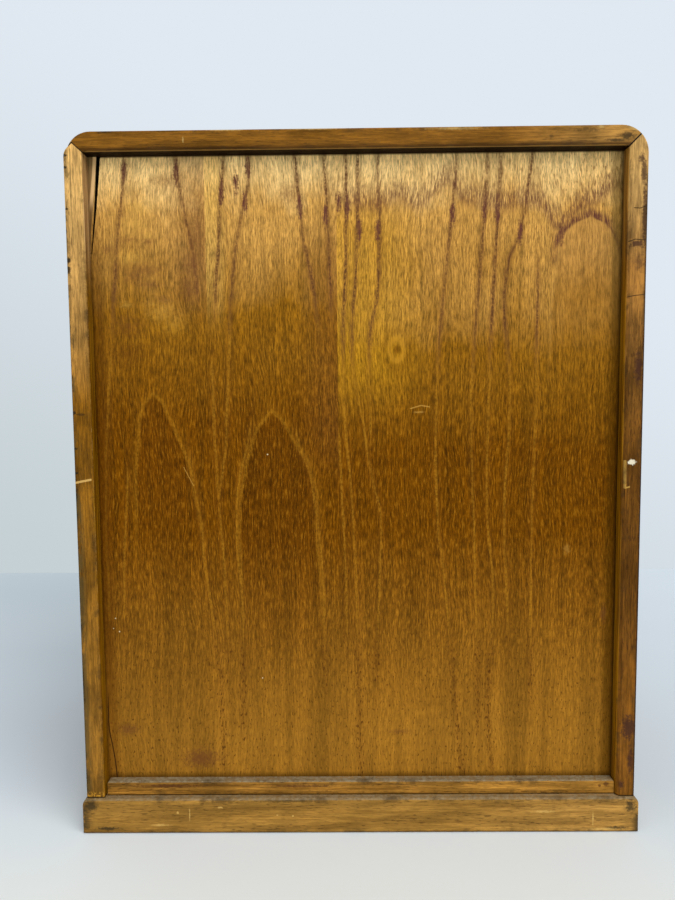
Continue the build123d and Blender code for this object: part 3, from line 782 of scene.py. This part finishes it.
distances = []
for points in growth_lines:
    heights = [height for height, _ in points]
    sockets = {"Across": ragged, "Along": z, "Line Across": curved_line(z, points),
               "Lower End": min(heights), "Upper End": max(heights)}
    distances.append(grouped(strand, sockets)["Distance"])
distance = least(*distances)
line_core = ease(distance, 1, 0.25)
line_side = ease(distance, 4, 0.5)
line_flank = ease(distance, 2, 0.6)
beads = noise(joined(x * 0.7, 1, z * 0.6), 1, 2)
beads = ease(beads, 0.40, 0.58, 0.36, 1)
strength = noise(joined(x * 0.06, 7, z * 0.035), 1, 2)
strength = ease(strength, 0.38, 0.62, 0.62, 1)
line_core = line_core * beads * strength
colour = mix(line_side * (high_up * 0.06 + 0.14), colour, (104, 62, 18))
line_flank = line_flank * strength * ease(fibres, 0.62, 0.42, 0.3, 1)
colour = mix(line_flank * (high_up * 0.44), colour, (128, 82, 46))
colour = mix(line_core * (high_up * 0.86), colour, (84, 50, 28))
arch_lines = most(*halos[:2]) * beads * 0.6
pale_lines = most(line_core, arch_lines)
colour = mix(pale_lines * (midway * 0.46), colour, (184, 128, 30))
line_dots = ease(distance, 2.6, 0.8) * ease(pores, 0.54, 0.62)
line_dots = most(line_dots, line_core * 0.45)
colour = mix(line_dots * (low_down * 0.72), colour, (84, 48, 12))
colour = mix(halos[2] * 0.18, colour, (206, 156, 80))

# Purple mineral streaks near the top, a wavy stain between them and the spotted rim of the right-hand arch.
mineral_streaks = (
    (93.7, 356.1), (120.8, 357.5), (70.2, 344.8), (57.8, 340.5), (56, 357.7), (62.4, 349.8), (29, 338.2),
    (15.6, 333), (8.7, 339.9), (4, 338.1), (-2.1, 325.6), (-11.6, 325.5), (-51.1, 333.3), (-67.8, 335.2),
    (-74.5, 334.1), (-86.5, 323.6), (-108.1, 322.3),
)
streaks = marks(x, z, *[(*spot, 1.9, 8, 0.6) for spot in mineral_streaks])
streaks = streaks * ease(fibres, 0.6, 0.42, 0.6, 1)
wave_points = ((14, 341), (8, 340), (-3, 338), (-13, 337), (-22, 341), (-34, 337), (-42, 344), (-51, 349),
               (-55, 341), (-65, 338), (-75, 336), (-96, 337), (-107, 325), (-117, 334), (-127, 339),
               (-135, 345))
wave = curved_line(x, wave_points, (-160, 160), (0, 400))
over_wave = (fibres - 0.5) * 12 + z - wave
stain = ease(over_wave, -5, 2) * ease(over_wave, 15, 1) * ease(fibres, 0.64, 0.4, 0.3, 1)
stain = stain * ease(x, 22, -4) * ease(x, -50, -120, 0.86, 1)
rim = bands[2] * (ease(z, 300, 322) * ease(fibres, 0.62, 0.42, 0.45, 1))
purple = most(streaks, stain * 0.8, rim)
colour = mix(purple, colour, (96, 54, 42))

# Soft dark patches of old varnish, bright patches of painted sheen, a knot, rubbed marks and a stain near the
# foot.
smudges = ((117.3, 302.9, 8, 5), (119.8, 321.8, 5, 2.2), (130.4, 316.7, 4, 3), (109.3, 320.6, 3.6, 2.4),
           (121.3, 276, 11, 8), (86.4, 308.9, 8, 8), (109.6, 298.6, 9, 3), (101.8, 290.6, 5, 3),
           (88.3, 295.8, 6, 9), (100, 352, 9, 4), (34, 345, 7, 6), (113, 306, 14, 5),
           (83, 326, 5, 22), (122, 262, 12, 9))
smudged = marks(x, z, *[(*spot, wide * 1.3, high * 1.3, 1.3) for *spot, wide, high in smudges])
colour = mix(smudged * 0.62, colour, mix(high_up, (98, 56, 8), (116, 72, 38)))
# Bright patches are painted highlights where the varnish catches the light.
sheen_spots = ((119.1, 312.4, 8, 4.2), (109.2, 323.7, 2.8, 1.8), (122, 287.7, 3.6, 2), (103.1, 283.3, 9, 7),
          (116.4, 330, 8, 5), (96.8, 277.4, 8, 6), (114, 338, 8, 5))
painted_sheen = marks(x, z, *[(*spot, wide * 1.4, high * 1.5, 1.4) for *spot, wide, high in sheen_spots])
colour = mix(painted_sheen * 0.42, colour, mix(high_up, (186, 132, 30), (222, 172, 78)))
knot_middle, knot_half = (-21.5, 263), (5, 7.2)
off_knot = length((ragged - knot_middle[0]) / knot_half[0], (z - knot_middle[1]) / knot_half[1])
knot_ring = ease(off_knot, 0.42, 0.72) * ease(off_knot, 1.12, 0.86)
colour = mix(knot_ring * 0.5, colour, (190, 134, 36))
knot_shade = most(ease(off_knot, 0.45, 0.15) * 0.6, ease(off_knot, 1, 1.3) * ease(off_knot, 2.2, 1.4) * 0.24)
colour = mix(knot_shade, colour, (108, 64, 6))
stains = marks(x, z, (88, 38, 15, 8, 0.98), (128, 55, 9, 5, 0.98, 0.8), (-23, 53, 10, 2, 0.98, 0.6),
               (-134, 119, 2.6, 7, 0.9, 0.9))
colour = mix(stains * 0.8, colour, (104, 62, 30))
rubbed = most(lined(x, z, ((-29, 231.6), (-34.5, 233.2), (-39, 232.4)), 0.5),
              marks(x, z, (-33.5, 229.6, 4, 0.8, 0.9, 0.8), (-113.5, 155, 2.6, 4, 0.9, 0.5)),
              lined(x, z, ((93.5, 201), (91, 196), (88.4, 191)), 0.3))
colour = mix(rubbed * 0.5, colour, (206, 156, 70))
paint_spots = ((133.2, 117.9), (134.5, 112.2), (131.2, 110.5), (48.1, 207.6), (52.9, 83.9))
paint = marks(x, z, *[(*spot, 0.45, 0.45, 0.3) for spot in paint_spots])
colour = mix(paint * 0.8, colour, (226, 206, 160))

# The strips beside the case are darkened with painted shade from the recess, and painted shadow lines its
# corners.
# Left of the split the veneer is weathered grey-brown.
left_strip_shade = ease(ragged, 131, 136.5) * ease(z, 345, 280, 0.1, 0.5)
colour = mix(left_strip_shade, colour, (92, 52, 4))
right_strip_shade = ease(x, -132, -136.6)
strip_shade_colour = mix(ease(z, 250, 350), (78, 48, 2), (112, 88, 36))
colour = mix(right_strip_shade * 0.62, colour, strip_shade_colour)
# Painted shadow under the top board, above the bottom board and beside the two sides.
corner_shade = most(ease(z, 363.3, 364.5), ease(z, 31, 27.4) * 0.6, ease(x, -137.6, -140.2) * 0.8,
                 ease(x, 138.2, 140) * 0.6)
colour = mix(corner_shade * 0.92, colour, (32, 16, 4))
split = curved_line(z, ((366, 134.6), (339.5, 137.2), (314.5, 139.6)))
past_split = x - split
weathered = ease(past_split, 0.2, 0.9)
colour = mix(weathered * 0.85, colour, mix(ease(veins, 0.4, 0.6), (128, 98, 60), (74, 52, 28)))
raw = ease(past_split, 0.4, 0.9) * ease(past_split, 2.8, 2)
colour = mix(raw * ease(z, 336, 346), colour, (232, 190, 132))
# The faces inside the split are near black, painted shade.
panel_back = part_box("back_panel")[1].y * 1000
split_shade = ease(y, panel_back - 0.3, panel_back - 0.6) * ease(x, 131, 132)
colour = mix(split_shade, colour, (10, 5, 2))
lower_line = curved_line(z, ((76, 138.5), (54, 138.6), (46, 137.2), (28, 135.2)))
gap_line = abs(x - lower_line)
gap_line = ease(gap_line, 0.5, 0.1) * ease(z, 80, 66)
colour = mix(gap_line * 0.9, colour, (38, 20, 8))

satin = ease(z, 190, 350, 0.012, 0.06) * ease(mottle, 0.3, 0.7, 0.7, 1.3) * ease(weathered, 0, 1, 1, 0.1)
rough = ease(veins, 0.3, 0.7, 0.44, 0.58)
feed_all(shader, {"Base Color": colour, "Roughness": rough, "Coat Weight": satin, "Coat Roughness": 0.3,
                  "Specular IOR Level": 0.02})
grain_height = line_core * -0.5 + (fibres * 0.5 + dots * -0.6)
roughen(shader, grain_height, 0.5, 0.00018)
dress("back_panel", veneer)

# Plinth
# Four rails of the same hardwood round the foot, a little proud of the case, with rounded ends and dust on
# their ledge. Yellow scuffs and grey-black grime show where it was knocked and handled.


def plinth_colour(place):
    x, _, z = parts(place)
    streak = noise(place * (0.016, 0.08, 0.42), 1, 5, 0.65)
    colour = mix(ease(x, -40, -140), (154, 113, 48), (174, 130, 62))
    colour = mix(ease(streak, 0.56, 0.40, 0, 0.34), colour, (122, 84, 30))
    # The lowest millimetre and a half is darker, a painted contact shadow on the table.
    return mix(ease(z, 1.6, 0.4, 0, 0.6), colour, (70, 46, 18))


def plinth_marks(place, colour):
    x, y, z = parts(place)
    ends = most(ease(x, 144, 151.5), ease(x, -146.5, -151.5))
    blotches = noise(place, 0.16, 6, 0.7)
    ends = ends * ease(blotches, 0.42, 0.52) * ease(y, 70, 98, 0.2, 1)
    grime = most(ends, marks(x, z, (147, 16, 5, 4, 0.7), (138, 3.2, 9, 1.2, 0.7), (-147, 15, 4, 5, 0.8),
                             (-140, 2.6, 8, 1.4, 0.7), (40, 18.4, 26, 1, 0.9, 0.7)))
    colour = mix(grime * 0.84, colour, (50, 42, 26))
    scuffs = marks(x, z, (109, 5, 7, 0.9, 0.9), (93, 11, 0.5, 5, 0.8), (99.5, 12, 0.7, 1, 0.5),
                   (76, 15, 2, 0.7, 0.6), (-100, 12, 8, 1, 0.9), (-127, 8, 0.7, 5, 0.8),
                   (-132, 2, 12, 0.9, 0.8), (45, 10.5, 0.7, 0.5, 0.5), (36.5, 10, 0.6, 0.7, 0.5))
    colour = mix(scuffs * 0.62, colour, (216, 174, 96))
    return dusted(place, colour, 0.7)


rails = {
    "base_back_rail": ("x", (120, 8, 5)),
    "base_front_rail": ("x", (820, 60, 5)),
    "base_left_rail": ("y", (410, 95, 3)),
    "base_right_rail": ("y", (77, -190, 3)),
}
for rail, (grain, shift) in rails.items():
    varnish(rail, grain, shift, plinth_colour, wear_width=0.4, ring_width=4.6, extra=plinth_marks,
            figure_amount=0.6)

# Shelves and uprights of the frame
# Dividing boards of the same hardwood let into the case, varnished on their front edges only, where they show
# between the drawers. Further in they are drier and paler.


def divider_colour(place):
    y = parts(place)[1]
    return mix(ease(y, -96.5, -93, 0, 0.55), (140, 90, 32), (180, 136, 80))


dividing_boards = {
    "upper_shelf": ("x", (10, 5, -300)),
    "middle_shelf": ("x", (510, 35, -180)),
    "lower_shelf": ("x", (-600, 15, -110)),
    "partition_board": ("z", (200, 0, 10)),
    "small_drawer_divider": ("x", (777, 22, -240)),
}
for board, (grain, shift) in dividing_boards.items():
    varnish(board, grain, shift, divider_colour, wear_width=0.35)

# Drawer linings
# Sides, backs and bottoms of the drawers, the cupboard's shelf and battens and the glue blocks under the
# floor are planed softwood, left bare. They are pale, straight-grained, and darker where they rub.


def leave_bare(node, grain, shift):
    """Makes a node planed softwood without varnish."""
    made, shader, place = new_material(node + "_softwood")
    wood = figured(place, grain, shift, 2.1)
    colour = mix(wood["Rings"] * 0.75 + wood["Fibre"] * 0.2, (214, 186, 140), (176, 134, 84))
    colour = mix(1, colour, ease(wood["Clouds"], 0.3, 0.7, 0.88, 1.08), "MULTIPLY")
    edge = grouped(arris_wear, {"Distances": faces_by_box(place, node), "Place": place, "Width": 0.5})
    colour = mix(edge["Grime"] * 0.5, colour, (110, 84, 56))
    colour = mix(edge["Worn"] * 0.5, colour, (150, 112, 70))
    rough = wood["Fibre"] * 0.12 + 0.68
    feed_all(shader, {"Base Color": colour, "Roughness": rough, "Specular IOR Level": 0.25})
    roughen(shader, wood["Height"], 0.5, 0.0002)
    dress(node, made)


drawers = ("top_drawer", "upper_small_drawer", "lower_small_drawer", "middle_drawer", "bottom_drawer")
lining_grain = {"left_side": "y", "right_side": "y", "back": "x", "bottom": "x"}
for number, drawer in enumerate(drawers):
    for order, (board, grain) in enumerate(lining_grain.items()):
        shift = (number * 310 + order * 97, 7 * order, 11 * number)
        leave_bare(f"{drawer}_{board}", grain, shift)
other_grain = {"cupboard_shelf": "x", "cupboard_battens": "y", "base_corner_blocks": "z"}
for number, (board, grain) in enumerate(other_grain.items()):
    leave_bare(board, grain, (130 * number, 40, 13 * number))

# Drawer fronts and cupboard door
# Fronts of figured hardwood, level in their grain and cut one after the other from a single board, so that
# the arches run on from drawer to drawer. Amber varnish, worn round the pull by fingers.


def make_front(node, middle, pull):
    """Makes a node an arched hardwood front, by the height of its arches and the place of its pull."""
    made, shader, place = new_material(node + "_figured")
    x, _, z = parts(place)
    wander = noise(place * (0.03, 0.03, 0.2), 1, 3)
    level = (wander - 0.5) * 3 + z
    shape = {"Apex Across": middle, "Apex Along": 95, "Half Width": 13, "Drop": 90, "Power": 2.4, "Slope": 15}
    field = grouped(arch, {"Across": level, "Along": x, **shape})["Above"]
    growth = noise_along(field * 0.024, 3, 0.6)
    lines = ease(computed("SINE", growth * 42), 0.45, 1)
    wood = figured(place, "x", (middle * 3, 60, 0), 5)
    colour = mix(ease(growth, 0.35, 0.65), (176, 120, 36), (134, 84, 14))
    colour = mix(lines * 0.6, colour, (88, 48, 14))
    colour = mix(wood["Fibre"] * 0.32, colour, (104, 60, 14))
    colour = mix(wood["Pores"] * 0.6, colour, (62, 34, 10))
    colour = mix(1, colour, ease(wood["Clouds"], 0.3, 0.7, 0.86, 1.14), "MULTIPLY")
    handled = marks(x, z, (*pull, 34, 20, 0.95))
    colour = mix(handled * 0.35, colour, (84, 50, 18))
    edge = grouped(arris_wear, {"Distances": faces_by_box(place, node), "Place": place, "Width": 0.6})
    colour = mix(edge["Grime"] * 0.6, colour, (58, 38, 20))
    colour = mix(edge["Worn"] * 0.6, colour, (204, 158, 88))
    rough = wood["Fibre"] * 0.14 + 0.36
    feed_all(shader, {"Base Color": colour, "Roughness": rough, "Coat Weight": handled * -0.06 + 0.14,
                      "Coat Roughness": 0.28, "Specular IOR Level": 0.06})
    roughen(shader, lines * -0.4 + wood["Height"], 0.5, 0.00018)
    dress(node, made)


def middle_of(node):
    """The middle of a CAD node's box, across and up, in millimetres."""
    low, high = (corner * 1000 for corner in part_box(node))
    return (low.x + high.x) / 2, (low.z + high.z) / 2


arches_above_middle = 3
for drawer in drawers:
    level = middle_of(f"{drawer}_front")[1] + arches_above_middle
    make_front(f"{drawer}_front", level, middle_of(f"{drawer}_pull"))
door_levels = {"cupboard_door_board": 257, "cupboard_door_cleats": 300}
for board, level in door_levels.items():
    make_front(board, level, middle_of("cupboard_door_pull"))

# Iron pulls and hinges
# Bails, their eye posts and rosettes, hinge leaves and pins are forged iron, blackened in hot oil. The black
# is rubbed to grey on the edges that are touched, with a little rust in the hollows.
hammered, given, made = new_group(
    "hammered_iron",
    ("Place:vector",),
    ("Colour:colour", "Rough", "Metal", "Height"),
)
pits = noise(given["Place"], 0.55, 3, 0.6)
facets = led_into("TexVoronoi", {"Vector": given["Place"], "Scale": 0.45}, feature="SMOOTH_F1")
rust = ease(noise(given["Place"], 0.24, 4, 0.65), 0.58, 0.74)
bright = ease(pits, 0.55, 0.75)
iron_colour = mix(bright * 0.5, (44, 42, 40), (92, 88, 82))
feed(made["Colour"], mix(rust * 0.6, iron_colour, (96, 56, 32)))
feed(made["Rough"], rust * 0.3 + (pits * 0.3 + 0.32))
feed(made["Metal"], rust * -0.7 + 0.85)
feed(made["Height"], facets * 0.8 + pits * 0.5)

black_iron, shader, place = new_material("oil_blackened_iron")
iron = grouped(hammered, {"Place": place})
feed_all(shader, {"Base Color": iron["Colour"], "Roughness": iron["Rough"], "Metallic": iron["Metal"]})
roughen(shader, iron["Height"], 0.6, 0.0003)

for drawer in drawers:
    dress(f"{drawer}_pull_fittings", black_iron)
    dress(f"{drawer}_pull", black_iron)
for fitting in ("cupboard_door_pull_fittings", "cupboard_door_pull", "hinge_case_leaves", "hinge_door_leaves",
                "hinge_pins"):
    dress(fitting, black_iron)

# Hinge nails
# Small forged nails with hammered dome heads hold the leaves, two in each case leaf and four in each door
# leaf. Their shanks are clenched in the wood behind.
# Sizes and heights are in metres. A head's rings have their share of its radius and how far they stand out.
hinge_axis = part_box("hinge_pins")
axis_across = (hinge_axis[0].x + hinge_axis[1].x) / 2
hinge_levels = (0.2183, 0.2897)
head_radius = 0.0015
head_height = 0.00095
head_rings = ((1, -0.00025), (0.95, 0.00022), (0.74, 0.00064), (0.42, 0.00087))
head_sides = 14
knuckle_reach = 0.008
leaf_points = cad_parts["hinge_door_leaves"].data.vertices
leaf_face = min(point.co.y for point in leaf_points if point.co.x < axis_across - knuckle_reach)


def dome_nails(name, body, spots):
    """Nail heads standing out of the hinge leaves at these (across, height) places, in metres."""
    points, faces = [], []
    for number, (across, height) in enumerate(spots):
        first = len(points)
        for ring, (share, rise) in enumerate(head_rings):
            for side in range(head_sides):
                angle = 2 * math.pi * side / head_sides
                hammered = 1 + 0.05 * math.sin(3 * angle + 1.7 * number + ring)
                points.append((across + head_radius * share * hammered * math.cos(angle), leaf_face - rise,
                               height + head_radius * share * hammered * math.sin(angle)))
        points.append((across, leaf_face - head_height, height))
        for ring in range(len(head_rings) - 1):
            for side in range(head_sides):
                here, there = first + ring * head_sides, first + (ring + 1) * head_sides
                beside = (side + 1) % head_sides
                faces.append((here + side, here + beside, there + beside, there + side))
        crown = first + (len(head_rings) - 1) * head_sides
        faces += [(crown + side, crown + (side + 1) % head_sides, len(points) - 1)
                  for side in range(head_sides)]
        faces.append(tuple(first + side for side in reversed(range(head_sides))))
    mesh = bpy.data.meshes.new(name)
    mesh.from_pydata(points, [], faces)
    mesh.polygons.foreach_set("use_smooth", [len(face) < head_sides for face in faces])
    mesh.materials.append(black_iron)
    heads = bpy.data.objects.new(name, mesh)
    bpy.context.scene.collection.objects.link(heads)
    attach(heads, body)


case_leaf_row = axis_across + 0.0052
door_leaf_rows = (axis_across - 0.0065, axis_across - 0.0182)
from_middle = (-0.0062, 0.0062)
dome_nails("hinge_case_nails", "case",
           [(case_leaf_row, level + up) for level in hinge_levels for up in from_middle])
dome_nails("hinge_door_nails", "cupboard_door",
           [(row, level + up) for level in hinge_levels for row in door_leaf_rows for up in from_middle])
